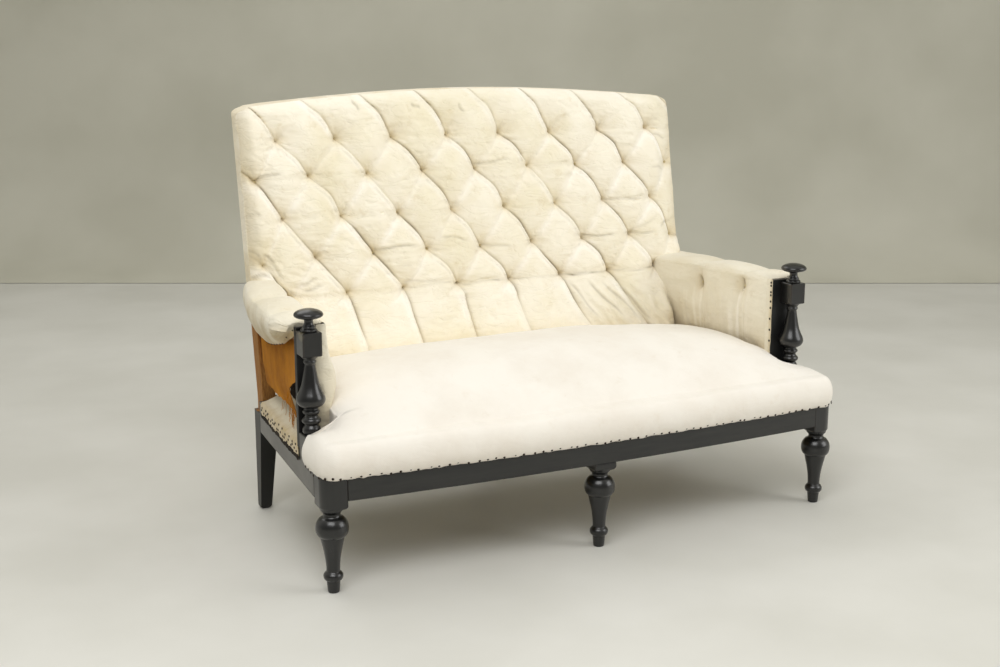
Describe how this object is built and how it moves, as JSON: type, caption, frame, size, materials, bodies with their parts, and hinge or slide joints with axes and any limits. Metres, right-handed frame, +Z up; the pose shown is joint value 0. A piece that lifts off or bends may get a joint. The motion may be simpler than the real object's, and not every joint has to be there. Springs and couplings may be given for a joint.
{
  "type": "buttoned sofa",
  "caption": "Two-seat sofa with a deep-buttoned raked back, low padded arms on turned posts, a sprung seat and turned front legs, covered in plain calico.",
  "frame": {"origin": "on the floor, at the middle of the sofa's bounding box", "axes": "+X along the sofa's length, towards the right-hand side of the front view; +Y towards the back; +Z up; the sofa faces -Y"},
  "size_m": [1.3398, 0.7698, 0.985],
  "materials": {
    "ebonised_wood": "black ebonised beech, satin French polish worn thin at the edges",
    "bare_wood": "old unpolished beech, darkened with age",
    "calico": "unbleached plain-weave calico, faintly stained by age",
    "seat_calico": "plain-weave calico, a cleaner and cooler cream",
    "hessian": "loose plain-weave jute hessian, ochre brown",
    "webbing": "flat jute upholstery webbing",
    "spring_steel": "plain drawn spring wire, dull"
  },
  "bodies": {
    "root": {"arm_board_left": "ebonised_wood", "arm_board_right": "ebonised_wood", "arm_buttons_left": "calico", "arm_buttons_right": "calico", "arm_finial_left": "ebonised_wood", "arm_finial_right": "ebonised_wood", "arm_flap_left": "calico", "arm_flap_right": "calico", "arm_hessian_left": "hessian", "arm_hessian_right": "hessian", "arm_pad_left": "calico", "arm_pad_right": "calico", "arm_post_left": "ebonised_wood", "arm_post_right": "ebonised_wood", "arm_rail_left": "bare_wood", "arm_rail_right": "bare_wood", "back_hessian": "hessian", "back_lower_rail": "bare_wood", "back_pad": "calico", "back_seat_rail": "bare_wood", "back_upright": "bare_wood", "button_row_1": "calico", "button_row_2": "calico", "button_row_3": "calico", "button_row_4": "calico", "button_row_5": "calico", "crest_rail": "bare_wood", "cross_web_1": "webbing", "cross_web_2": "webbing", "cross_web_3": "webbing", "cross_web_4": "webbing", "front_leg_centre": "ebonised_wood", "front_leg_left": "ebonised_wood", "front_leg_right": "ebonised_wood", "front_rail": "ebonised_wood", "long_web_1": "webbing", "long_web_2": "webbing", "long_web_3": "webbing", "outside_back_hessian": "hessian", "rear_leg_centre": "ebonised_wood", "rear_post_left": "ebonised_wood", "rear_post_right": "ebonised_wood", "seat_hessian": "hessian", "seat_pad": "seat_calico", "seat_spring_1_1": "spring_steel", "seat_spring_1_2": "spring_steel", "seat_spring_1_3": "spring_steel", "seat_spring_1_4": "spring_steel", "seat_spring_2_1": "spring_steel", "seat_spring_2_2": "spring_steel", "seat_spring_2_3": "spring_steel", "seat_spring_2_4": "spring_steel", "seat_spring_3_1": "spring_steel", "seat_spring_3_2": "spring_steel", "seat_spring_3_3": "spring_steel", "seat_spring_3_4": "spring_steel", "side_rail_left": "ebonised_wood", "side_rail_right": "ebonised_wood"}
  },
  "joints": []
}
